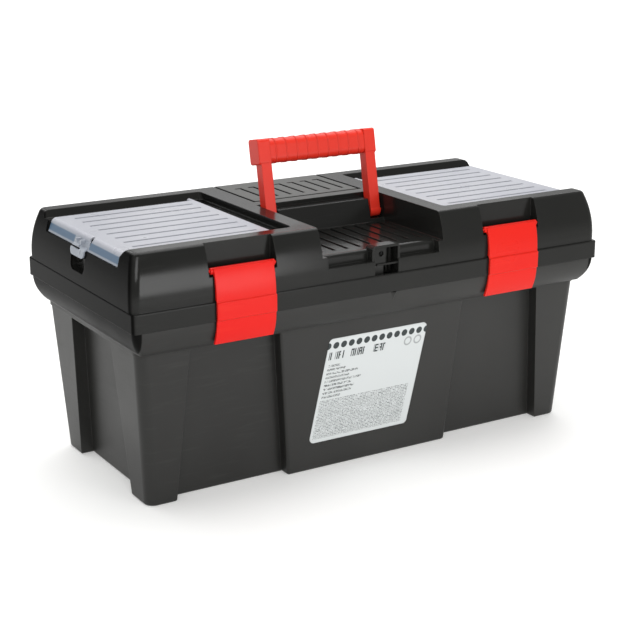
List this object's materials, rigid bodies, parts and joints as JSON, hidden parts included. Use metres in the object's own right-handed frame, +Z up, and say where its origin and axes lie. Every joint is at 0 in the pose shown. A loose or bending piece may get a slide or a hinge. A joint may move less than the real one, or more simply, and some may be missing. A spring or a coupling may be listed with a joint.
{
  "type": "carpenter toolbox",
  "caption": "Portable plastic toolbox with a latched hinged lid, a folding carrying handle, clear-covered organizers in the lid and a lift-out tray.",
  "frame": {"origin": "middle of the bottom face, on the surface the box stands on", "axes": "+X along the length, to the right as seen from the latch side; +Y away from the latch side, towards the hinges; +Z up"},
  "size_m": [0.525, 0.2514, 0.3102],
  "materials": {
    "black_base": "fine moulded texture",
    "black_lid": "satin moulded",
    "red_plastic": "semi-gloss moulded",
    "clear_cover": "frosted translucent",
    "tray_plastic": "fine moulded texture",
    "divider_plastic": "fine moulded texture",
    "label": "printed film",
    "steel": "drawn wire"
  },
  "bodies": {
    "base": {"base_shell": "black_base", "hinge_rod_left": "steel", "hinge_rod_right": "steel", "product_label": "label"},
    "lid": {"lid_shell": "black_lid", "organizer_divider_left_1": "divider_plastic", "organizer_divider_left_2": "divider_plastic", "organizer_divider_left_3": "divider_plastic", "organizer_divider_right_1": "divider_plastic", "organizer_divider_right_2": "divider_plastic", "organizer_divider_right_3": "divider_plastic"},
    "latch_left": {"front_latch_left": "red_plastic"},
    "latch_right": {"front_latch_right": "red_plastic"},
    "handle": {"handle_frame": "red_plastic", "handle_grip": "red_plastic"},
    "cover_left": {"organizer_cover_left": "clear_cover"},
    "cover_right": {"organizer_cover_right": "clear_cover"},
    "tray": {"tool_tray": "tray_plastic", "tray_divider_left": "tray_plastic", "tray_divider_right": "tray_plastic"}
  },
  "joints": [
    {"name": "lid_hinge", "type": "hinge", "parent": "base", "child": "lid", "pos_m": [0, 0.1217, 0.176], "axis": [-1, 0, 0], "range_deg": [0, 105]},
    {"name": "latch_left_hinge", "type": "hinge", "parent": "lid", "child": "latch_left", "pos_m": [-0.1514, -0.1156, 0.2212], "axis": [-1, 0, 0], "range_deg": [0, 120]},
    {"name": "latch_right_hinge", "type": "hinge", "parent": "lid", "child": "latch_right", "pos_m": [0.1514, -0.1156, 0.2212], "axis": [-1, 0, 0], "range_deg": [0, 120]},
    {"name": "handle_fold", "type": "hinge", "parent": "lid", "child": "handle", "pos_m": [0, -0.0073, 0.2275], "axis": [1, 0, 0], "range_deg": [0, 101]},
    {"name": "cover_left_hinge", "type": "hinge", "parent": "lid", "child": "cover_left", "pos_m": [-0.101, 0, 0.2381], "axis": [0, 1, 0], "range_deg": [0, 105]},
    {"name": "cover_right_hinge", "type": "hinge", "parent": "lid", "child": "cover_right", "pos_m": [0.101, 0, 0.2381], "axis": [0, -1, 0], "range_deg": [0, 105]},
    {"name": "tray_lift", "type": "slide", "parent": "base", "child": "tray", "axis": [0, 0, 1], "range_m": [0, 0.02]}
  ]
}
